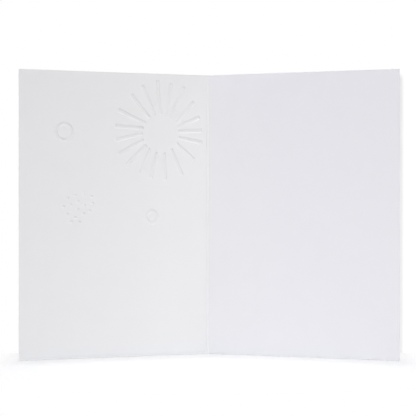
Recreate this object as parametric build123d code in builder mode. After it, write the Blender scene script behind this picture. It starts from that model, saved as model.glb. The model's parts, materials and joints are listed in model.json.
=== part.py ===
"""A folded greeting card, standing half open, with a blind-embossed front cover.

Millimetres. +Z is up and the card stands on its bottom edges at z = 0. The fold
is at the back (+Y) and the two covers open towards -Y, the front cover on the
-X side and the back cover on the +X side. The origin is the middle of the
footprint.
"""
from build123d import *
from math import cos, radians, sin, sqrt, tan
import os

os.makedirs("parts", exist_ok=True)

# The sheet
card_height = 177.8
front_cover_width = 124.8
back_cover_width = 127.0
board = 0.35
opening_angle = 134.0

# The fold, creased so that a bead stands along its inside
bead_width = 1.4
bead_height = 0.35
bead_blend_radius = 0.3
fold_outer_radius = 1.2

# The embossing: hollow on the inside of the front cover, raised on its outside
emboss_depth = 0.5
emboss_slope = 45.0

# The sun, whose rays run from an inner circle to an outer one. It was drawn by
# hand, so the circles don't share a centre and the rays aren't evenly spaced.
sun_outer_from_fold = 33.3
sun_outer_from_top = 35.6
sun_outer_radius = 30.6
sun_inner_from_fold = 32.1
sun_inner_from_top = 37.8
sun_inner_radius = 11.9
ray_tip_width = 2.9
ray_root_width = 2.2
ray_corner_cut = 0.6
# For each ray, the directions of its tip on the outer circle and of its root on
# the inner one, in degrees from the direction away from the fold, and how far
# its tip runs past the outer circle.
rays = [
    (4, 16, -0.7),
    (24, 32, -0.5),
    (49.5, 53, -1.4),
    (68, 72, -0.4),
    (88, 89, 1.0),
    (105.5, 107.5, 0.3),
    (121.5, 122.5, 2.4),
    (142.5, 144.5, -0.3),
    (162.5, 158.5, -1.3),
    (179.5, 172.5, -1.0),
    (194, 191, 0.3),
    (218, 208.5, 0.0),
    (241, 232.5, 1.9),
    (262.5, 258, 1.4),
    (280.5, 284.5, 0.4),
    (296, 308.5, -0.1),
    (314.5, 323, 0.9),
    (330, 340.5, 0.9),
    (347, 359.5, -0.4),
]

# The two rings, by their outlines at the sheet's inner face
large_ring_from_fold = 96.0
large_ring_from_top = 37.8
large_ring_radius = 6.2
small_ring_from_fold = 38.2
small_ring_from_top = 90.4
small_ring_radius = 4.8
ring_band = 2.3

# The cluster of dots, each set out from the middle of the cluster
dots_from_fold = 86.4
dots_from_top = 83.9
dot_length = 2.3
dot_width = 1.8
dots = [
    (-3.0, 7.7),
    (2.5, 7.1),
    (-8.3, 6.2),
    (7.3, 5.3),
    (0.4, 3.1),
    (-8.8, 2.2),
    (-3.3, 1.2),
    (5.4, 1.0),
    (10.1, 0.0),
    (0.5, -1.9),
    (-7.0, -2.6),
    (-3.0, -4.4),
    (7.3, -4.4),
    (2.5, -6.9),
    (5.0, -9.4),
    (-0.3, -9.6),
]

# Each cover turns towards -Y by half of what the opening lacks of a flat sheet.
lean = radians((180.0 - opening_angle) / 2)
emboss_run = emboss_depth / tan(radians(emboss_slope))
# The sloped walls keep the sheet's thickness, which puts the raised outlines
# this far outside the hollow ones.
raised_growth = board * tan(radians(emboss_slope) / 2)

FRONT = -1
BACK = 1


def along_cover(reach, side):
    """The point of a cover's inner face at this distance from the fold, in plan."""
    return Vector(side * reach * cos(lean), -reach * sin(lean))


def through_board(side):
    """The step from a cover's inner face to its outer one, in plan."""
    return Vector(side * sin(lean), cos(lean)) * board


def on_cover(from_fold, from_top):
    """A point of the front cover, seen from outside with the fold on the left."""
    return Vector(from_fold, card_height - from_top)


def draw_ray(tip_turn, root_turn, past_circle, growth):
    """One ray's outline, a bar with cut corners, narrower at its root."""
    tip_reach = sun_outer_radius + past_circle
    tip = on_cover(sun_outer_from_fold, sun_outer_from_top)
    tip += Vector(tip_reach, 0).rotate(Axis.Z, tip_turn)
    root = on_cover(sun_inner_from_fold, sun_inner_from_top)
    root += Vector(sun_inner_radius, 0).rotate(Axis.Z, root_turn)
    along = (tip - root).normalized()
    across = along.rotate(Axis.Z, 90)
    tip += along * growth
    root -= along * growth
    tip_side = across * (ray_tip_width / 2 + growth)
    root_side = across * (ray_root_width / 2 + growth)
    with BuildSketch(mode=Mode.PRIVATE) as bar:
        with BuildLine():
            Polyline(tip + tip_side, root + root_side, root - root_side, tip - tip_side, close=True)
        make_face()
        chamfer(bar.vertices(), ray_corner_cut + growth * (2 - sqrt(2)))
    add(bar.sketch)


def make_marks(base, growth):
    """Every embossed mark as a flat-topped hill that stands on a base height."""
    rings = [
        (on_cover(large_ring_from_fold, large_ring_from_top), large_ring_radius),
        (on_cover(small_ring_from_fold, small_ring_from_top), small_ring_radius),
    ]
    cluster = on_cover(dots_from_fold, dots_from_top)
    on_base = (Align.CENTER, Align.CENTER, Align.MIN)
    with BuildPart() as marks:
        with BuildSketch(Plane.XY.offset(base)):
            for tip_turn, root_turn, past_circle in rays:
                draw_ray(tip_turn, root_turn, past_circle, growth)
            with Locations(*[cluster + Vector(*dot) for dot in dots]):
                SlotOverall(dot_length + 2 * growth, dot_width + 2 * growth)
        extrude(amount=emboss_depth, taper=90.0 - emboss_slope)
        for centre, radius in rings:
            outer = radius + growth
            inner = radius - ring_band - growth
            with Locations((centre.X, centre.Y, base)):
                Cone(outer, outer - emboss_run, emboss_depth, align=on_base)
                Cone(inner, inner + emboss_run, emboss_depth, align=on_base, mode=Mode.SUBTRACT)
    return marks.part


# The sheet's section in plan, about the corner where its two inner faces meet
front_edge = along_cover(front_cover_width, FRONT)
back_edge = along_cover(back_cover_width, BACK)
outer_corner = Vector(0, board / cos(lean))
bead_reach = bead_width / 2 / cos(lean)
front_bead_end = along_cover(bead_reach, FRONT)
back_bead_end = along_cover(bead_reach, BACK)

with BuildSketch() as section:
    with BuildLine():
        Polyline(
            back_bead_end,
            back_edge,
            back_edge + through_board(BACK),
            outer_corner,
            front_edge + through_board(FRONT),
            front_edge,
            front_bead_end,
        )
        SagittaArc(front_bead_end, back_bead_end, -bead_height)
    make_face()
    fillet(section.vertices().sort_by_distance(outer_corner)[0], fold_outer_radius)
    for bead_end in (front_bead_end, back_bead_end):
        fillet(section.vertices().sort_by_distance(bead_end)[0], bead_blend_radius)

# The middle of the section's outline goes to the origin.
fold_corner = -section.sketch.bounding_box().center()
front_of_card = Plane(
    origin=fold_corner,
    x_dir=along_cover(1, FRONT),
    z_dir=through_board(FRONT),
)

raised_marks = make_marks(board, raised_growth)
hollow_marks = make_marks(0, 0)

with BuildPart() as card:
    with BuildSketch(Plane(origin=fold_corner)):
        add(section.sketch)
    extrude(amount=card_height)
    with Locations(front_of_card.location):
        add(raised_marks)
        add(hollow_marks, mode=Mode.SUBTRACT)

card.part.label = "card"
export_step(card.part, "parts/card.step")
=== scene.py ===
"""A folded greeting card with a blind-embossed front cover, in a plain studio.

Metres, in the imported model's frame: the card stands on its bottom edges at z = 0,
its fold is at the back (+Y) and its covers open towards -Y, the front cover on the
-X side and the back cover on the +X side.
"""
import json
import math

import bmesh
import bpy
from bpy.props import FloatProperty, FloatVectorProperty, PointerProperty
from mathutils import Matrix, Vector

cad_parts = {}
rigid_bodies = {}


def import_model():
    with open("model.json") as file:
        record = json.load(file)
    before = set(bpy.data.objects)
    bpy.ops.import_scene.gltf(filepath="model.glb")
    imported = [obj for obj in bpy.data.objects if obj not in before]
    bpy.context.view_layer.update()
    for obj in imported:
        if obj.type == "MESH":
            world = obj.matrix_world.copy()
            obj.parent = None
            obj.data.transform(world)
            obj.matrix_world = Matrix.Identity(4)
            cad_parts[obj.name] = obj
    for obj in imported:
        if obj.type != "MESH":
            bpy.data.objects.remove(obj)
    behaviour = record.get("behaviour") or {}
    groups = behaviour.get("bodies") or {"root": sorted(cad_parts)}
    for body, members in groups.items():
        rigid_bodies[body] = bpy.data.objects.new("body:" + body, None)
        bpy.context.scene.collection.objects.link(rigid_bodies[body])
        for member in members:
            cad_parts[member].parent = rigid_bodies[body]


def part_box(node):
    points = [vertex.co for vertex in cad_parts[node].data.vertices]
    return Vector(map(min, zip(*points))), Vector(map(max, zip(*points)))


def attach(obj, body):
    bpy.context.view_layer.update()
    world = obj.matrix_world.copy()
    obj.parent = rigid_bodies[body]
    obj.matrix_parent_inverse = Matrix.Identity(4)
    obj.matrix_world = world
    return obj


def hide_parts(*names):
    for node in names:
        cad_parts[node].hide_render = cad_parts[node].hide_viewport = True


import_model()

bl_info = {
    "name": "Embossed Greeting Card",
    "version": (1, 0, 0),
    "blender": (4, 5, 0),
    "location": "3D View > Sidebar > Card",
    "description": "Makes the pressed sheet of a greeting card and the studio it stands in",
    "category": "Object",
}

CARD_LOW, CARD_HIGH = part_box("card")
MM = 0.001
SAME_PLACE = 1e-6
# The side of the fold that each cover is on
FRONT, BACK = -1, 1

# The embossed marks, in millimetres on the front cover as its outside shows them,
# with the fold on the left. The rays run from the sun's inner circle to its outer
# one. Each is the direction of its tip on the outer circle and of its root on the
# inner one, in degrees from the direction away from the fold, and how far its tip
# runs past the outer circle.
SUN_OUTER = {"from_fold": 33.3, "from_top": 35.6, "radius": 30.6}
SUN_INNER = {"from_fold": 32.1, "from_top": 37.8, "radius": 11.9}
RAY_TIP_WIDTH = 2.9
RAY_ROOT_WIDTH = 2.2
RAY_CORNER = 0.85
RAYS = [
    (4, 16, -0.7),
    (24, 32, -0.5),
    (49.5, 53, -1.4),
    (68, 72, -0.4),
    (88, 89, 1.0),
    (105.5, 107.5, 0.3),
    (121.5, 122.5, 2.4),
    (142.5, 144.5, -0.3),
    (162.5, 158.5, -1.3),
    (179.5, 172.5, -1.0),
    (194, 191, 0.3),
    (218, 208.5, 0.0),
    (241, 232.5, 1.9),
    (262.5, 258, 1.4),
    (280.5, 284.5, 0.4),
    (296, 308.5, -0.1),
    (314.5, 323, 0.9),
    (330, 340.5, 0.9),
    (347, 359.5, -0.4),
]
# A ring's radius is that of its outline, and its depth a share of the full depth.
RINGS = [
    {"from_fold": 96.0, "from_top": 37.8, "radius": 6.2, "depth_share": 1.0},
    {"from_fold": 38.2, "from_top": 90.4, "radius": 4.8, "depth_share": 0.75},
]
RING_BAND = 2.3
DOT_LENGTH = 2.3
DOT_WIDTH = 1.8
DOTS_FROM_FOLD = 86.4
DOTS_FROM_TOP = 83.9
DOTS_REACH = 14.0
DOT_DEPTH_SHARE = 0.75
# Each dot's place, from the middle of the cluster
DOTS = [
    (-3.0, 7.7),
    (2.5, 7.1),
    (-8.3, 6.2),
    (7.3, 5.3),
    (0.4, 3.1),
    (-8.8, 2.2),
    (-3.3, 1.2),
    (5.4, 1.0),
    (10.1, 0.0),
    (0.5, -1.9),
    (-7.0, -2.6),
    (-3.0, -4.4),
    (7.3, -4.4),
    (2.5, -6.9),
    (5.0, -9.4),
    (-0.3, -9.6),
]


# Sizes, finishes and the studio


def length(name, description, default):
    """A size in metres."""
    return FloatProperty(
        name=name, description=description, default=default, min=0.0, precision=5,
        subtype="DISTANCE", unit="LENGTH",
    )


class SheetSizes(bpy.types.PropertyGroup):
    """The sizes of the folded sheet and of its embossing"""

    height: length("Height", "Length of the fold", CARD_HIGH.z - CARD_LOW.z)
    front_width: length("Front cover", "From the fold to the free edge", 0.1248)
    back_width: length("Back cover", "From the fold to the free edge", 0.1270)
    board: length("Board", "Thickness of the sheet", 0.00035)
    opening: FloatProperty(
        name="Opening", description="Angle between the covers",
        default=math.radians(134.0), subtype="ANGLE", unit="ROTATION",
    )
    fold_radius: length("Fold radius", "Round of the fold's outside", 0.0012)
    bead_width: length("Bead width", "Width of the bead inside the fold", 0.0014)
    bead_height: length("Bead height", "Height of the bead over its own foot", 0.00035)
    bead_blend: length("Bead blend", "Radius between the bead and a cover", 0.0003)
    emboss_depth: length("Emboss depth", "Depth of the marks", 0.0005)
    emboss_slope: FloatProperty(
        name="Emboss slope", description="Slope of the marks' sides",
        default=math.radians(45.0), subtype="ANGLE", unit="ROTATION",
    )
    mouth_radius: length("Mouth radius", "Bend where the sheet enters a mark", 0.0005)
    floor_radius: length("Floor radius", "Bend at the floor of a mark", 0.00025)


class StockLook(bpy.types.PropertyGroup):
    """The finish of the card stock"""

    face_colour: FloatVectorProperty(
        name="Face", description="Colour of the sheet's faces",
        default=(0.82, 0.82, 0.826), size=3, subtype="COLOR", min=0.0, max=1.0,
    )
    edge_colour: FloatVectorProperty(
        name="Cut edge", description="Colour of the sheet's cut edges",
        default=(0.74, 0.74, 0.74), size=3, subtype="COLOR", min=0.0, max=1.0,
    )
    roughness: FloatProperty(
        name="Roughness", description="Roughness of the sheet's faces",
        default=0.82, min=0.0, max=1.0, subtype="FACTOR",
    )
    mottle: FloatProperty(
        name="Mottle", description="How far the cloudiness of the pulp changes the colour",
        default=0.012, min=0.0, max=1.0, subtype="FACTOR",
    )
    tooth: length("Tooth", "Height of the sheet's grain", 0.000012)


class StudioSetup(bpy.types.PropertyGroup):
    """The camera, the lamps and what the card stands on"""

    camera_distance: length("Camera distance", "From the card's middle", 1.0025)
    camera_height: length("Camera height", "Above the floor", 0.09305)
    camera_aside: length("Camera aside", "To the front cover's side of the middle", 0.00066)
    lens: FloatProperty(
        name="Lens", description="Focal length", default=138.99, min=1.0,
        subtype="DISTANCE_CAMERA",
    )
    ambient: FloatProperty(
        name="Ambient", description="Strength of the room's light", default=0.285, min=0.0,
    )
    foot_glow: FloatProperty(
        name="Foot glow", description="Power that the floor throws up on to each cover's foot",
        default=0.0012, min=0.0, subtype="POWER", unit="POWER",
    )


# Help with modelling


def start_over():
    """Object mode, with nothing selected."""
    if bpy.context.object and bpy.context.object.mode != "OBJECT":
        bpy.ops.object.mode_set(mode="OBJECT")
    bpy.ops.object.select_all(action="DESELECT")


def pick(piece, kind, test):
    """In edit mode, selects every vertex, edge or face that passes a test."""
    bpy.ops.mesh.select_mode(type=kind)
    bpy.ops.mesh.select_all(action="DESELECT")
    mesh = bmesh.from_edit_mesh(piece.data)
    found = 0
    for part in {"VERT": mesh.verts, "EDGE": mesh.edges, "FACE": mesh.faces}[kind]:
        if test(part):
            part.select_set(True)
            found += 1
    mesh.select_flush_mode()
    bmesh.update_edit_mesh(piece.data)
    if not found:
        raise RuntimeError(f"nothing on {piece.name} to select")


def along_cover(reach, side, lean):
    """The point of a cover's inner face at this distance from the fold, in plan."""
    return Vector((side * reach * math.cos(lean), -reach * math.sin(lean), 0))


def through_board(board, side, lean):
    """The step from a cover's inner face to its outer one, in plan."""
    return Vector((side * math.sin(lean), math.cos(lean), 0)) * board


def lean_of(sizes):
    """How far each cover is turned towards -Y from a flat sheet."""
    return (math.pi - sizes.opening) / 2


def fold_corner(sizes):
    """Where the inner faces of the two covers would meet, in plan."""
    lean = lean_of(sizes)
    outer = sizes.board / math.cos(lean) - sizes.fold_radius * (1 / math.cos(lean) - 1)
    middle = (CARD_LOW + CARD_HIGH) / 2
    shift = (sizes.front_width - sizes.back_width) * math.cos(lean) / 2
    return Vector((middle.x + shift, CARD_HIGH.y - outer, 0))


# The front cover, drawn flat and in millimetres: X is the distance from the fold,
# Y the height and Z the way to the outside.

# How far one face of a bend may turn from the next
BEND_STEP = math.radians(12)
# The flat rim round each mark's bend, and round its floor
FLAT_MARGIN = 0.1
CORNER_STEPS = 6
RING_STEPS = 72
# The width of front cover that is modelled with the fold
HINGE_STRIP = 2.5
SAME_SPOT = 0.001


def bend_tangent(radius, slope):
    """How far a bend of this radius reaches from the corner that it rounds."""
    return radius * math.tan(slope / 2)


def draw_bar(piece, start, end, start_width, end_width, corner):
    """Adds a flat bar with rounded corners to the mesh in edit mode."""
    middle = (start + end) / 2
    along = end - start
    reach = along.length / 2
    bpy.ops.mesh.select_all(action="DESELECT")
    bpy.ops.mesh.primitive_plane_add(size=1, location=middle)
    bpy.ops.transform.resize(value=(2 * reach, start_width, 1), center_override=middle)
    mesh = bmesh.from_edit_mesh(piece.data)
    for vertex in mesh.verts:
        if vertex.select and vertex.co.x < middle.x:
            vertex.select_set(False)
    mesh.select_flush_mode()
    bmesh.update_edit_mesh(piece.data)
    narrowing = (1, end_width / start_width, 1)
    bpy.ops.transform.resize(value=narrowing, center_override=middle + Vector((reach, 0, 0)))
    bpy.ops.mesh.select_linked()
    turn = math.atan2(along.y, along.x)
    bpy.ops.transform.rotate(value=-turn, orient_axis="Z", center_override=middle)
    bpy.ops.mesh.bevel(
        offset=corner, offset_type="OFFSET", affect="VERTICES", segments=CORNER_STEPS,
        profile=0.5,
    )
    bpy.ops.mesh.remove_doubles(threshold=SAME_SPOT)


def place_mark(sizes, from_fold, from_top):
    """The point of the flat front cover at these distances."""
    return Vector((from_fold, sizes.height / MM - from_top, 0))


def draw_sun(piece, sizes, growth):
    """Draws the rays, each from the inner circle to the outer one."""
    outer = place_mark(sizes, SUN_OUTER["from_fold"], SUN_OUTER["from_top"])
    inner = place_mark(sizes, SUN_INNER["from_fold"], SUN_INNER["from_top"])
    for tip_turn, root_turn, past_circle in RAYS:
        tip_turn, root_turn = math.radians(tip_turn), math.radians(root_turn)
        tip_reach = SUN_OUTER["radius"] + past_circle
        tip = outer + Vector((math.cos(tip_turn), math.sin(tip_turn), 0)) * tip_reach
        root_reach = SUN_INNER["radius"]
        root = inner + Vector((math.cos(root_turn), math.sin(root_turn), 0)) * root_reach
        along = (tip - root).normalized() * growth
        draw_bar(
            piece, tip + along, root - along, RAY_TIP_WIDTH + 2 * growth,
            RAY_ROOT_WIDTH + 2 * growth, RAY_CORNER + growth,
        )


def draw_dots(piece, sizes, growth):
    """Draws the cluster of dots."""
    cluster = place_mark(sizes, DOTS_FROM_FOLD, DOTS_FROM_TOP)
    reach = Vector((DOT_LENGTH / 2 + growth, 0, 0))
    width = DOT_WIDTH + 2 * growth
    for across, up in DOTS:
        middle = cluster + Vector((across, up, 0))
        draw_bar(piece, middle - reach, middle + reach, width, width, width / 2)


def ring_places(sizes):
    """Each ring, after the place of its middle."""
    return [(place_mark(sizes, ring["from_fold"], ring["from_top"]), ring) for ring in RINGS]


def draw_rings(sizes, growth):
    """Draws each ring as a disc, to be split into its band and its middle."""
    for middle, ring in ring_places(sizes):
        bpy.ops.mesh.select_all(action="DESELECT")
        bpy.ops.mesh.primitive_circle_add(
            vertices=RING_STEPS, radius=ring["radius"] + growth, location=middle,
            fill_type="NGON",
        )


def is_disc(face, sizes):
    """Whether a face is a ring's disc or the middle that is left of it."""
    centre = face.calc_center_median()
    return len(face.verts) == RING_STEPS and any(
        (centre - middle).length < SAME_SPOT for middle, ring in ring_places(sizes)
    )


def split_rings(piece, sizes, growth):
    """Insets the middle of each ring's disc, which leaves its band round it."""
    pick(piece, "FACE", lambda face: is_disc(face, sizes))
    bpy.ops.mesh.inset(thickness=RING_BAND + 2 * growth, depth=0)


def press_steps(sizes, share):
    """The insets and depths that lead from the flat sheet to a mark's floor."""
    slope = sizes.emboss_slope
    mouth, floor = sizes.mouth_radius / MM, sizes.floor_radius / MM
    turns = math.ceil(slope / BEND_STEP)
    angles = [slope * step / turns for step in range(turns + 1)]
    bend = [
        (math.sin(there) - math.sin(here), math.cos(here) - math.cos(there))
        for here, there in zip(angles, angles[1:])
    ]
    straight = share * sizes.emboss_depth / MM - (mouth + floor) * (1 - math.cos(slope))
    return (
        [(mouth * across, mouth * down) for across, down in bend]
        + [(straight / math.tan(slope), straight)]
        + [(floor * across, floor * down) for across, down in reversed(bend)]
    )


def depth_share(face, sizes):
    """How much of the full depth a face is pressed to, and 0 for the flat sheet."""
    if len(face.verts) < 4 or is_disc(face, sizes):
        return 0
    centre = face.calc_center_median()
    if (centre - place_mark(sizes, DOTS_FROM_FOLD, DOTS_FROM_TOP)).length < DOTS_REACH:
        return DOT_DEPTH_SHARE
    for middle, ring in ring_places(sizes):
        if (centre - middle).length < ring["radius"]:
            return ring["depth_share"]
    return 1.0


def press_marks(piece, sizes):
    """Presses the drawn marks to the outside, with a bend at mouth and floor."""
    for share in (1.0, DOT_DEPTH_SHARE):
        pick(piece, "FACE", lambda face: depth_share(face, sizes) == share)
        bpy.ops.mesh.inset(thickness=FLAT_MARGIN, depth=0)
        for inset, depth in press_steps(sizes, share):
            bpy.ops.mesh.inset(thickness=inset, depth=depth)
        bpy.ops.mesh.inset(thickness=FLAT_MARGIN, depth=0)


def make_front_cover(sizes):
    """The embossed front cover, modelled flat and then turned into its place."""
    start_over()
    width, height = sizes.front_width / MM, sizes.height / MM
    middle = Vector(((HINGE_STRIP + width) / 2, height / 2, 0))
    bpy.ops.mesh.primitive_plane_add(size=1, location=middle)
    cover = bpy.context.object
    cover.name = "front_cover"
    cover.scale = (width - HINGE_STRIP, height, 1)
    bpy.ops.object.transform_apply(location=True, rotation=True, scale=True)

    bpy.ops.object.mode_set(mode="EDIT")
    bpy.ops.mesh.select_all(action="SELECT")
    bpy.ops.mesh.delete(type="ONLY_FACE")
    growth = bend_tangent(sizes.mouth_radius / MM, sizes.emboss_slope) + FLAT_MARGIN
    draw_sun(cover, sizes, growth)
    draw_dots(cover, sizes, growth)
    draw_rings(sizes, growth)
    bpy.ops.mesh.select_all(action="SELECT")
    bpy.ops.mesh.fill(use_beauty=True)
    split_rings(cover, sizes, growth)
    bpy.ops.mesh.select_all(action="SELECT")
    bpy.ops.mesh.normals_make_consistent(inside=False)
    mesh = bmesh.from_edit_mesh(cover.data)
    if any(len(edge.link_faces) > 2 for edge in mesh.edges):
        raise RuntimeError("the front cover's drawing overlaps itself")
    mesh.faces.ensure_lookup_table()
    if mesh.faces[0].normal.z < 0:
        bpy.ops.mesh.flip_normals()
    press_marks(cover, sizes)
    bpy.ops.object.mode_set(mode="OBJECT")

    thicken = cover.modifiers.new("board", "SOLIDIFY")
    thicken.thickness = sizes.board / MM
    thicken.offset = 1
    thicken.use_even_offset = True
    bpy.ops.object.modifier_apply(modifier=thicken.name)

    bpy.ops.object.mode_set(mode="EDIT")
    pick(cover, "FACE", lambda face: all(v.co.x < HINGE_STRIP + SAME_SPOT for v in face.verts))
    bpy.ops.mesh.delete(type="ONLY_FACE")
    bpy.ops.object.mode_set(mode="OBJECT")

    cover.scale = (MM, MM, MM)
    cover.rotation_euler = (math.pi / 2, 0, math.pi + lean_of(sizes))
    cover.location = fold_corner(sizes)
    bpy.ops.object.transform_apply(location=True, rotation=True, scale=True)
    return cover


# The fold and the back cover

# The faces along each round of the fold
FOLD_STEPS = 16
BEAD_STEPS = 16
BLEND_STEPS = 6


def spin_edge(centre, start, end, steps):
    """Sweeps the selected upright edge round a centre, from start to end in plan."""
    before, after = start - centre, end - centre
    turn = before.xy.angle_signed(after.xy)
    bpy.ops.mesh.spin(steps=steps, angle=turn, center=centre, axis=(0, 0, 1))


def pull_edge(step):
    """Sweeps the selected upright edge along a straight step."""
    bpy.ops.mesh.extrude_region_move(TRANSFORM_OT_translate={"value": step})


def make_fold_and_back_cover(sizes):
    """Sweeps an upright edge along the inner faces, round the free edge and back."""
    lean = lean_of(sizes)
    corner = fold_corner(sizes)
    front_strip = corner + along_cover(HINGE_STRIP * MM, FRONT, lean)

    # The bead's circle, whose foot stands on both covers
    foot = sizes.bead_width / 2 / math.cos(lean)
    half = sizes.bead_width / 2
    bead_radius = (half**2 + sizes.bead_height**2) / (2 * sizes.bead_height)
    bead_crest = -foot * math.sin(lean) - sizes.bead_height
    bead_centre = corner + Vector((0, bead_crest + bead_radius, 0))

    def blend(side):
        """The blend's centre and its ends on the cover and on the bead."""
        away = along_cover(1, side, lean)
        start = corner - through_board(sizes.bead_blend, side, lean) - bead_centre
        reach = bead_radius + sizes.bead_blend
        ahead = away.dot(start)
        run = -ahead + math.sqrt(ahead**2 - start.length_squared + reach**2)
        on_cover = corner + away * run
        centre = on_cover - through_board(sizes.bead_blend, side, lean)
        on_bead = bead_centre + (centre - bead_centre) * bead_radius / reach
        return centre, on_cover, on_bead

    front_blend, front_start, front_foot = blend(FRONT)
    back_blend, back_start, back_foot = blend(BACK)

    start_over()
    strip = front_start - front_strip
    bpy.ops.mesh.primitive_plane_add(
        size=1, location=(front_strip + front_start) / 2 + Vector((0, 0, sizes.height / 2)),
        rotation=(math.pi / 2, 0, math.atan2(strip.y, strip.x)),
    )
    back = bpy.context.object
    back.name = "fold_and_back_cover"
    back.scale = (strip.length, sizes.height, 1)
    bpy.ops.object.transform_apply(location=True, rotation=True, scale=True)

    bpy.ops.object.mode_set(mode="EDIT")
    pick(back, "VERT", lambda vertex: (vertex.co - front_start).xy.length < SAME_PLACE)
    spin_edge(front_blend, front_start, front_foot, BLEND_STEPS)
    spin_edge(bead_centre, front_foot, back_foot, BEAD_STEPS)
    spin_edge(back_blend, back_foot, back_start, BLEND_STEPS)
    free_edge = corner + along_cover(sizes.back_width, BACK, lean)
    pull_edge(free_edge - back_start)
    outward = through_board(sizes.board, BACK, lean)
    pull_edge(outward)
    outer_corner = corner + Vector((0, sizes.board / math.cos(lean), 0))
    round_reach = bend_tangent(sizes.fold_radius, 2 * lean)
    back_round = outer_corner + along_cover(round_reach, BACK, lean)
    pull_edge(back_round - free_edge - outward)
    front_round = outer_corner + along_cover(round_reach, FRONT, lean)
    round_centre = outer_corner - Vector((0, sizes.fold_radius / math.cos(lean), 0))
    spin_edge(round_centre, back_round, front_round, FOLD_STEPS)
    pull_edge(front_strip + through_board(sizes.board, FRONT, lean) - front_round)
    bpy.ops.object.mode_set(mode="OBJECT")
    return back


def join_sheet(cover, back):
    """Joins the two parts into one closed sheet and caps the fold's ends."""
    start_over()
    cover.select_set(True)
    back.select_set(True)
    bpy.context.view_layer.objects.active = cover
    bpy.ops.object.join()
    sheet = bpy.context.object
    sheet.name = "folded_sheet"
    sheet.data.name = "folded_sheet"
    bpy.ops.object.mode_set(mode="EDIT")
    bpy.ops.mesh.select_mode(type="VERT")
    bpy.ops.mesh.select_all(action="SELECT")
    bpy.ops.mesh.remove_doubles(threshold=SAME_PLACE)
    bpy.ops.mesh.select_mode(type="EDGE")
    bpy.ops.mesh.select_all(action="DESELECT")
    bpy.ops.mesh.select_non_manifold()
    bpy.ops.mesh.fill_holes(sides=0)
    bpy.ops.mesh.select_all(action="SELECT")
    bpy.ops.mesh.normals_make_consistent(inside=False)
    bpy.ops.object.mode_set(mode="OBJECT")
    return sheet


# Materials


class Wire:
    """A number that runs through a node tree, with the sums that are done on it."""

    def __init__(self, bench, socket):
        self.bench = bench
        self.socket = socket

    def _sum(self, operation, first, second):
        return self.bench.make("ShaderNodeMath", {"operation": operation}, {0: first, 1: second})

    def __add__(self, other):
        return self._sum("ADD", self, other)

    def __radd__(self, other):
        return self._sum("ADD", other, self)

    def __sub__(self, other):
        return self._sum("SUBTRACT", self, other)

    def __rsub__(self, other):
        return self._sum("SUBTRACT", other, self)

    def __mul__(self, other):
        return self._sum("MULTIPLY", self, other)

    def __rmul__(self, other):
        return self._sum("MULTIPLY", other, self)


class Bench:
    """Builds one node tree."""

    def __init__(self, tree):
        self.tree = tree
        tree.nodes.clear()

    def make(self, kind, settings=None, inputs=None, output=0):
        """Adds a node, sets it and then its sockets, and gives one of its outputs."""
        node = self.tree.nodes.new(kind)
        for name, value in (settings or {}).items():
            setattr(node, name, value)
        for key, value in (inputs or {}).items():
            socket = node.inputs[key]
            if isinstance(value, Wire):
                self.tree.links.new(value.socket, socket)
            else:
                socket.default_value = value
        return Wire(self, node.outputs[output]) if len(node.outputs) else node

    def mix(self, factor, first, second):
        """Runs from one colour to another. Sockets 6, 7 and output 2 are the colours'."""
        inputs = {"Factor": factor, 6: first, 7: second}
        return self.make("ShaderNodeMix", {"data_type": "RGBA"}, inputs, output=2)


# The pulp's clouds, its grain and its fibres, which lie mostly upright, as waves to
# the metre
CLOUD_SCALE = 90.0
GRAIN_SCALE = 2600.0
FIBRE_SCALES = (1400.0, 1400.0, 260.0)
EDGE_FIBRE_SCALE = 5200.0
# How much of the colour and of the grain the fibres make up
FIBRES_IN_COLOUR = 0.2
FIBRES_IN_GRAIN = 0.35
ROUGHNESS_SPREAD = 0.08
FACE_SPECULAR = 0.35
# The cut edges' darkest and palest, against their colour, and how much coarser they are
EDGE_DARK, EDGE_PALE = 0.93, 1.05
EDGE_COARSENESS = 2.5
EDGE_ROUGHNESS = 0.95
EDGE_SPECULAR = 0.3


def between(level, darkest, palest):
    """Two shades of a colour, as the sockets of a Mix node take them."""
    return tuple(
        tuple(min(1.0, channel * share) for channel in level) + (1.0,)
        for share in (darkest, palest)
    )


def make_card_stock(look):
    """The sheet's faces: off-white pulp, faintly cloudy, with a fine tooth."""
    material = bpy.data.materials.new("card_stock_face")
    material.use_nodes = True
    bench = Bench(material.node_tree)
    place = bench.make("ShaderNodeTexCoord", output="Object")
    cloud = bench.make(
        "ShaderNodeTexNoise", None,
        {"Vector": place, "Scale": CLOUD_SCALE, "Detail": 3.0, "Roughness": 0.6},
    )
    grain = bench.make(
        "ShaderNodeTexNoise", None,
        {"Vector": place, "Scale": GRAIN_SCALE, "Detail": 3.0, "Roughness": 0.65},
    )
    across = bench.make("ShaderNodeMapping", None, {"Vector": place, "Scale": FIBRE_SCALES})
    fibres = bench.make(
        "ShaderNodeTexNoise", None,
        {"Vector": across, "Scale": 1.0, "Detail": 2.0, "Roughness": 0.5},
    )
    dark, pale = between(look.face_colour, 1 - look.mottle, 1 + look.mottle)
    pulp = cloud * (1 - FIBRES_IN_COLOUR) + fibres * FIBRES_IN_COLOUR
    colour = bench.mix(pulp, dark, pale)
    tooth = grain * (1 - FIBRES_IN_GRAIN) + fibres * FIBRES_IN_GRAIN
    relief = bench.make(
        "ShaderNodeBump", None, {"Strength": 1.0, "Distance": look.tooth, "Height": tooth}
    )
    roughness = cloud * ROUGHNESS_SPREAD + (look.roughness - ROUGHNESS_SPREAD / 2)
    surface = bench.make(
        "ShaderNodeBsdfPrincipled", None,
        {
            "Base Color": colour, "Roughness": roughness, "Normal": relief,
            "Specular IOR Level": FACE_SPECULAR,
        },
    )
    bench.make("ShaderNodeOutputMaterial", None, {"Surface": surface})
    return material


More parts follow.
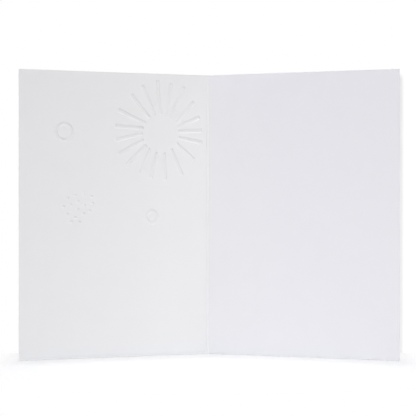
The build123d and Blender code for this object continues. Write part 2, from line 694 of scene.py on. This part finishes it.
def make_cut_edge(look):
    """The sheet's cut edges: torn fibre ends, a little darker than the faces."""
    material = bpy.data.materials.new("card_stock_cut_edge")
    material.use_nodes = True
    bench = Bench(material.node_tree)
    place = bench.make("ShaderNodeTexCoord", output="Object")
    fibres = bench.make(
        "ShaderNodeTexNoise", None,
        {"Vector": place, "Scale": EDGE_FIBRE_SCALE, "Detail": 3.0, "Roughness": 0.7},
    )
    dark, pale = between(look.edge_colour, EDGE_DARK, EDGE_PALE)
    colour = bench.mix(fibres, dark, pale)
    relief = bench.make(
        "ShaderNodeBump", None,
        {"Strength": 1.0, "Distance": EDGE_COARSENESS * look.tooth, "Height": fibres},
    )
    surface = bench.make(
        "ShaderNodeBsdfPrincipled", None,
        {
            "Base Color": colour, "Roughness": EDGE_ROUGHNESS, "Normal": relief,
            "Specular IOR Level": EDGE_SPECULAR,
        },
    )
    bench.make("ShaderNodeOutputMaterial", None, {"Surface": surface})
    return material


# How level the face of a top or bottom edge is, and the sharpest bend that is smoothed
LEVEL = 0.99
SMOOTH_BEND = math.radians(30)


def finish_sheet(sheet, sizes, look):
    """Gives the faces and the cut edges their own stock, and smooths the bends."""
    sheet.data.materials.clear()
    sheet.data.materials.append(make_card_stock(look))
    sheet.data.materials.append(make_cut_edge(look))
    lean = lean_of(sizes)
    corner = fold_corner(sizes)
    ends = [
        (along_cover(1, FRONT, lean), sizes.front_width),
        (along_cover(1, BACK, lean), sizes.back_width),
    ]

    def is_cut(face):
        if abs(face.normal.z) > LEVEL:
            centre = face.calc_center_median()
            return min(abs(centre.z), abs(centre.z - sizes.height)) < SAME_PLACE
        reaches = [vertex.co - corner for vertex in face.verts]
        return any(
            all(reach.dot(away) > width - SAME_PLACE for reach in reaches)
            for away, width in ends
        )

    start_over()
    sheet.select_set(True)
    bpy.context.view_layer.objects.active = sheet
    bpy.ops.object.mode_set(mode="EDIT")
    pick(sheet, "FACE", is_cut)
    sheet.active_material_index = 1
    bpy.ops.object.material_slot_assign()
    bpy.ops.object.mode_set(mode="OBJECT")
    bpy.ops.object.shade_smooth_by_angle(angle=SMOOTH_BEND)


class CARD_OT_make_sheet(bpy.types.Operator):
    """Model the folded sheet with its pressed marks and give it its card stock"""

    bl_idname = "card.make_sheet"
    bl_label = "Make Folded Sheet"

    def execute(self, context):
        sizes = context.scene.card_sheet
        cover = make_front_cover(sizes)
        back = make_fold_and_back_cover(sizes)
        sheet = join_sheet(cover, back)
        finish_sheet(sheet, sizes, context.scene.card_stock)
        start_over()
        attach(sheet, "root")
        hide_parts("card")
        return {"FINISHED"}


# The studio

# What a lamp lights. On the open floor the card throws no shadow in its light.
CARD, FLOOR, OPEN_FLOOR, BACKDROP = "CARD", "FLOOR", "OPEN_FLOOR", "BACKDROP"
# Each lamp with its place, size, power, colour and what it lights
LAMPS = [
    ("key", (0.418, -0.418, 1.359), 0.4, 7.9, (1.0, 0.961, 0.938), CARD),
    ("left_fill", (-0.955, -0.552, 0.952), 0.4, 4.8, (0.911, 0.901, 1.0), CARD),
    ("low_left_fill", (-1.049, -0.880, 0.381), 0.4, 2.9, (0.94, 0.928, 1.0), CARD),
    ("left_edge_fill", (-1.323, -0.354, 0.381), 0.4, 1.4, (0.642, 0.509, 1.0), CARD),
    ("low_right_fill", (0.45, -0.25, 0.05), 0.25, 0.93, (0.97, 0.98, 0.985), CARD),
    ("high_back_lamp", (-0.3, 0.6, 1.2), 0.3, 11.5, (1.0, 1.0, 1.0), CARD),
    ("right_back_lamp", (0.9, 0.9, 0.5), 0.7, 2.2, (1.0, 1.0, 1.0), CARD),
    ("front_floor_lamp", (0.0, -0.25, 0.9), 0.4, 10.1, (0.975, 0.978, 1.0), OPEN_FLOOR),
    ("low_floor_lamp", (0.03, -0.2, 0.3), 0.3, 0.5, (0.9, 0.94, 1.0), OPEN_FLOOR),
    ("over_floor_lamp", (-0.06, 0.22, 2.9), 0.92, 60.0, (1.0, 0.99, 1.0), FLOOR),
    ("backdrop_lamp", (-0.087, -1.35, 0.17), 0.112, 18.0, (1.0, 1.0, 1.0), BACKDROP),
]
LAMP_AIM = Vector((0, 0, 0.09))

# The strip of floor in front of a cover's foot that throws light up on to it: its
# distance from the cover, its width and its height above the floor
FOOT_GAP, FOOT_REACH, FOOT_LIFT = 0.0003, 0.02, 0.0002
FOOT_COLOUR = (0.75, 0.88, 1.0)

FLOOR_SIZE, FLOOR_DROP = 6.0, 0.00002
FLOOR_SHADE, FLOOR_GLOW = 0.4, 0.03
# Where the floor turns to white: away from the card's middle, and to its left and right
FLOOR_FADE = (0.12, 0.2)
FLOOR_SIDE_FADE = (0.114, 0.138)

BACKDROP_SIZE, BACKDROP_GAP = 3.0, 0.003
BACKDROP_SHADE, BACKDROP_GLOW = 0.3, 0.61
# The band of backdrop that the back cover's free edge shades, which fades in and out
BAND_START = (0.1175, 0.1218)
BAND_END = (0.135, 0.15)


def hang_lamp(name, place, turn, power, colour):
    """A soft lamp that isn't seen by the camera."""
    bpy.ops.object.light_add(type="AREA", location=place, rotation=turn)
    lamp = bpy.context.object
    lamp.name = name
    lamp.data.name = name
    lamp.data.energy = power
    lamp.data.color = colour
    lamp.visible_camera = False
    return lamp


def add_lamp(name, place, size, power, colour):
    """A round soft lamp that faces the card."""
    turn = (LAMP_AIM - Vector(place)).to_track_quat("-Z", "Y").to_euler()
    lamp = hang_lamp(name, place, turn, power, colour)
    lamp.data.shape = "DISK"
    lamp.data.size = size
    return lamp


def add_foot_glow(name, sizes, width, side, power):
    """A strip along a cover's foot that lights it from below, as a white floor does."""
    lean = lean_of(sizes)
    away = through_board(FOOT_GAP + FOOT_REACH / 2, side, lean)
    place = fold_corner(sizes) + along_cover(width / 2, side, lean) - away
    place.z = FOOT_LIFT
    strip = hang_lamp(name, place, (math.pi, 0, -side * lean), power, FOOT_COLOUR)
    strip.data.shape = "RECTANGLE"
    strip.data.size = width
    strip.data.size_y = FOOT_REACH
    return strip


def gather(name, pieces, state):
    """A collection that a lamp is linked to, of the pieces that it takes or skips."""
    group = bpy.data.collections.new(name)
    for piece in pieces:
        group.objects.link(piece)
    for entry in group.collection_objects:
        entry.light_linking.link_state = state
    return group


def link_lamp(lamp, lights, floor, backdrop):
    """Makes a lamp light the card alone, the floor alone or the backdrop alone."""
    if lights == CARD:
        lit = gather(f"{lamp.name}_skips", [floor, backdrop], "EXCLUDE")
    else:
        only = backdrop if lights == BACKDROP else floor
        lit = gather(f"{lamp.name}_lights", [only], "INCLUDE")
    lamp.light_linking.receiver_collection = lit
    if lights == OPEN_FLOOR:
        lamp.light_linking.blocker_collection = gather(f"{lamp.name}_shades", [floor], "INCLUDE")


def looked_at(bench):
    """1 where the camera, a reflection or a glass shows a place, and 0 elsewhere."""
    seen = bench.make("ShaderNodeLightPath", output="Is Camera Ray")
    for kind in ("Is Glossy Ray", "Is Transmission Ray"):
        seen = seen + bench.make("ShaderNodeLightPath", output=kind)
    return seen


def fade(bench, reach, start, end):
    """Runs softly from 0 to 1 between two values of a number."""
    return bench.make(
        "ShaderNodeMapRange", {"interpolation_type": "SMOOTHSTEP"},
        {"Value": reach, "From Min": start, "From Max": end},
    )


def shown_floor(bench):
    """1 on the floor in front of the card and behind it, and 0 farther away."""
    place = bench.make("ShaderNodeTexCoord", output="Object")
    reach = bench.make("ShaderNodeVectorMath", {"operation": "LENGTH"}, {0: place}, output="Value")
    across = bench.make("ShaderNodeSeparateXYZ", None, {"Vector": place}, output="X")
    beside = bench.make("ShaderNodeMath", {"operation": "ABSOLUTE"}, {0: across})
    return (1.0 - fade(bench, reach, *FLOOR_FADE)) * (1.0 - fade(bench, beside, *FLOOR_SIDE_FADE))


def shown_backdrop(bench):
    """1 in the band of backdrop beside the back cover's free edge, and 0 elsewhere."""
    place = bench.make("ShaderNodeTexCoord", output="Object")
    across = bench.make("ShaderNodeSeparateXYZ", None, {"Vector": place}, output="X")
    return fade(bench, across, *BAND_START) * (1.0 - fade(bench, across, *BAND_END))


def make_stage_paint(name, shade, glow, shown):
    """An even paint that glows a little where it is looked at, clear from behind.

    Where shown gives 0, it is plain white to the camera.
    """
    material = bpy.data.materials.new(name)
    material.use_nodes = True
    bench = Bench(material.node_tree)
    seen = looked_at(bench)
    paint = bench.make("ShaderNodeBsdfDiffuse", None, {"Color": (shade, shade, shade, 1.0)})
    light = bench.make("ShaderNodeEmission", None, {"Strength": seen * glow})
    lit = bench.make("ShaderNodeAddShader", None, {0: paint, 1: light})
    white = bench.make("ShaderNodeEmission", None, {"Strength": 1.0})
    front = bench.make(
        "ShaderNodeMixShader", None, {0: (1.0 - shown(bench)) * seen, 1: lit, 2: white}
    )
    behind = bench.make("ShaderNodeNewGeometry", output="Backfacing")
    clear = bench.make("ShaderNodeBsdfTransparent")
    side = bench.make("ShaderNodeMixShader", None, {0: behind, 1: front, 2: clear})
    bench.make("ShaderNodeOutputMaterial", None, {"Surface": side})
    return material


def lay_stage(name, size, place, turn, paint):
    """A square of floor or backdrop with its paint."""
    start_over()
    bpy.ops.mesh.primitive_plane_add(size=size, location=place, rotation=turn)
    ground = bpy.context.object
    ground.name = name
    ground.data.materials.append(make_stage_paint(name, *paint))
    return ground


def make_room(scene, ambient):
    """A white room to the camera, and an even light of its own on the card."""
    world = bpy.data.worlds.new("studio_room")
    scene.world = world
    world.use_nodes = True
    bench = Bench(world.node_tree)
    room = bench.make(
        "ShaderNodeBackground", None,
        {
            "Color": (1.0, 1.0, 1.0, 1.0),
            "Strength": looked_at(bench) * (1.0 - ambient) + ambient,
        },
    )
    bench.make("ShaderNodeOutputWorld", None, {"Surface": room})


class CARD_OT_set_studio(bpy.types.Operator):
    """Set up the floor, the backdrop, the lamps, the room's light and the camera"""

    bl_idname = "card.set_studio"
    bl_label = "Set Up Studio"

    def execute(self, context):
        studio = context.scene.card_studio
        floor = lay_stage(
            "studio_floor", FLOOR_SIZE, (0, 0, -FLOOR_DROP), (0, 0, 0),
            (FLOOR_SHADE, FLOOR_GLOW, shown_floor),
        )
        backdrop = lay_stage(
            "studio_backdrop", BACKDROP_SIZE,
            (0, CARD_HIGH.y + BACKDROP_GAP, BACKDROP_SIZE / 2), (math.pi / 2, 0, 0),
            (BACKDROP_SHADE, BACKDROP_GLOW, shown_backdrop),
        )
        backdrop.visible_diffuse = False
        backdrop.visible_glossy = False
        backdrop.visible_transmission = False
        backdrop.visible_shadow = False
        for *settings, lights in LAMPS:
            link_lamp(add_lamp(*settings), lights, floor, backdrop)
        sizes = context.scene.card_sheet
        for name, width, side in (
            ("front_foot_glow", sizes.front_width, FRONT),
            ("back_foot_glow", sizes.back_width, BACK),
        ):
            strip = add_foot_glow(name, sizes, width, side, studio.foot_glow)
            link_lamp(strip, CARD, floor, backdrop)
        make_room(context.scene, studio.ambient)

        start_over()
        spot = (-studio.camera_aside, -studio.camera_distance, studio.camera_height)
        bpy.ops.object.camera_add(location=spot, rotation=(math.pi / 2, 0, 0))
        camera = bpy.context.object
        camera.name = "studio_camera"
        camera.data.lens = studio.lens
        context.scene.camera = camera
        context.scene.view_settings.view_transform = "Standard"
        return {"FINISHED"}


class CARD_PT_card(bpy.types.Panel):
    """The card's pieces, with their sizes and finishes"""

    bl_idname = "CARD_PT_card"
    bl_label = "Greeting Card"
    bl_space_type = "VIEW_3D"
    bl_region_type = "UI"
    bl_category = "Card"

    def draw(self, context):
        scene = context.scene
        for title, group, operator in (
            ("Sheet", scene.card_sheet, CARD_OT_make_sheet.bl_idname),
            ("Card stock", scene.card_stock, None),
            ("Studio", scene.card_studio, CARD_OT_set_studio.bl_idname),
        ):
            box = self.layout.box()
            box.label(text=title)
            for name in group.__annotations__:
                box.prop(group, name)
            if operator:
                box.operator(operator)


CLASSES = (
    SheetSizes, StockLook, StudioSetup, CARD_OT_make_sheet, CARD_OT_set_studio, CARD_PT_card,
)


def register():
    """Adds the classes, and the settings that the scene keeps."""
    for cls in CLASSES:
        bpy.utils.register_class(cls)
    bpy.types.Scene.card_sheet = PointerProperty(type=SheetSizes)
    bpy.types.Scene.card_stock = PointerProperty(type=StockLook)
    bpy.types.Scene.card_studio = PointerProperty(type=StudioSetup)


def unregister():
    """Takes the settings and the classes out again."""
    del bpy.types.Scene.card_studio
    del bpy.types.Scene.card_stock
    del bpy.types.Scene.card_sheet
    for cls in reversed(CLASSES):
        bpy.utils.unregister_class(cls)


def main():
    """Makes the card and its studio."""
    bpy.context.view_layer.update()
    register()
    bpy.ops.card.set_studio()
    bpy.ops.card.make_sheet()


if __name__ == "__main__":
    main()
